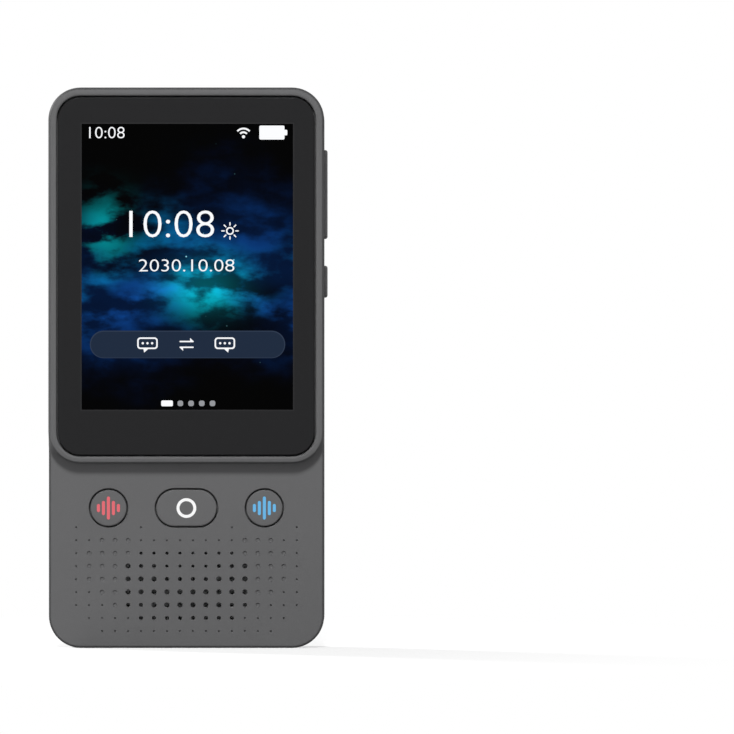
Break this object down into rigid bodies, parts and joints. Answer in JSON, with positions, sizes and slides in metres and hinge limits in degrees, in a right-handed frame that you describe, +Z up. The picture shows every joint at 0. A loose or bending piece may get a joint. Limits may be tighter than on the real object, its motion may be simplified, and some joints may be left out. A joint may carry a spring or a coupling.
{
  "type": "handheld translator",
  "caption": "Handheld voice translator: a slab casing with a raised touch screen, front keys over a pierced speaker grille, side keys and a rear camera.",
  "frame": {"origin": "middle of the casing's outline at the level of its flat bottom edge", "axes": "+Z up the long side of the casing, front face towards -Y, +X to the right seen from the front"},
  "size_m": [0.0599, 0.0156, 0.1204],
  "materials": {
    "casing": "fine satin texture, dark grey",
    "rear_casing": "fine matt texture, dark grey",
    "cover_glass": "polished, black printed border",
    "camera_glass": "polished black",
    "key": "smooth satin, printed symbols",
    "display": "display panel",
    "white_plastic": "plain moulded",
    "black_plastic": "plain moulded",
    "steel": "stamped and plated",
    "brass": "spring contact",
    "circuit_board": "green solder mask",
    "light_alloy": "cast, matt",
    "foam": "fine closed cell foam",
    "film": "amber film",
    "battery_foil": "laminated foil"
  },
  "bodies": {
    "housing": {"front_shell": "casing", "rear_shell": "rear_casing", "strap_bar": "steel", "cover_glass": "cover_glass", "glass_adhesive": "foam", "display_panel": "display", "display_backlight": "white_plastic", "display_ribbon": "film", "display_connector": "black_plastic", "mid_frame": "light_alloy", "main_board": "circuit_board", "shield_can": "steel", "top_microphone": "black_plastic", "bottom_microphone": "black_plastic", "usb_shell": "steel", "usb_tongue": "black_plastic", "camera_ring": "steel", "camera_window": "camera_glass", "camera_barrel": "black_plastic", "camera_lens": "camera_glass", "camera_module": "black_plastic", "left_switch": "black_plastic", "home_switch": "black_plastic", "right_switch": "black_plastic", "key_board": "circuit_board", "volume_up_switch": "black_plastic", "volume_down_switch": "black_plastic", "power_switch": "black_plastic", "side_key_bracket": "black_plastic", "speaker_mesh": "steel", "speaker_gasket": "foam", "speaker_frame": "black_plastic", "speaker_cone": "foam", "battery": "battery_foil", "battery_adhesive": "foam", "battery_foam": "foam", "battery_lead": "film", "battery_connector": "white_plastic", "board_link_ribbon": "film", "antenna_strip": "brass", "mid_frame_screw_1": "steel", "mid_frame_screw_2": "steel", "mid_frame_screw_3": "steel", "mid_frame_screw_4": "steel", "main_board_screw_1": "steel", "main_board_screw_2": "steel", "key_board_screw_1": "steel", "key_board_screw_2": "steel"},
    "left_key": {"left_key": "key", "left_plunger": "brass"},
    "home_key": {"home_key": "key", "home_plunger": "brass"},
    "right_key": {"right_key": "key", "right_plunger": "brass"},
    "volume_rocker": {"volume_rocker": "key"},
    "power_button": {"power_button": "key"}
  },
  "joints": [
    {"name": "left_key_press", "type": "slide", "parent": "housing", "child": "left_key", "axis": [0, 1, 0], "range_m": [0, 0.00035], "stiffness_N_per_m": 1500},
    {"name": "home_key_press", "type": "slide", "parent": "housing", "child": "home_key", "axis": [0, 1, 0], "range_m": [0, 0.00035], "stiffness_N_per_m": 1500},
    {"name": "right_key_press", "type": "slide", "parent": "housing", "child": "right_key", "axis": [0, 1, 0], "range_m": [0, 0.00035], "stiffness_N_per_m": 1500},
    {"name": "power_button_press", "type": "slide", "parent": "housing", "child": "power_button", "axis": [-1, 0, 0], "range_m": [0, 0.00025], "stiffness_N_per_m": 1500},
    {"name": "volume_rocker_tilt", "type": "hinge", "parent": "housing", "child": "volume_rocker", "pos_m": [0.0269, -0.0016, 0.0976], "axis": [0, 1, 0], "range_deg": [-1.8, 1.8], "stiffness_Nm_per_rad": 0.1}
  ]
}
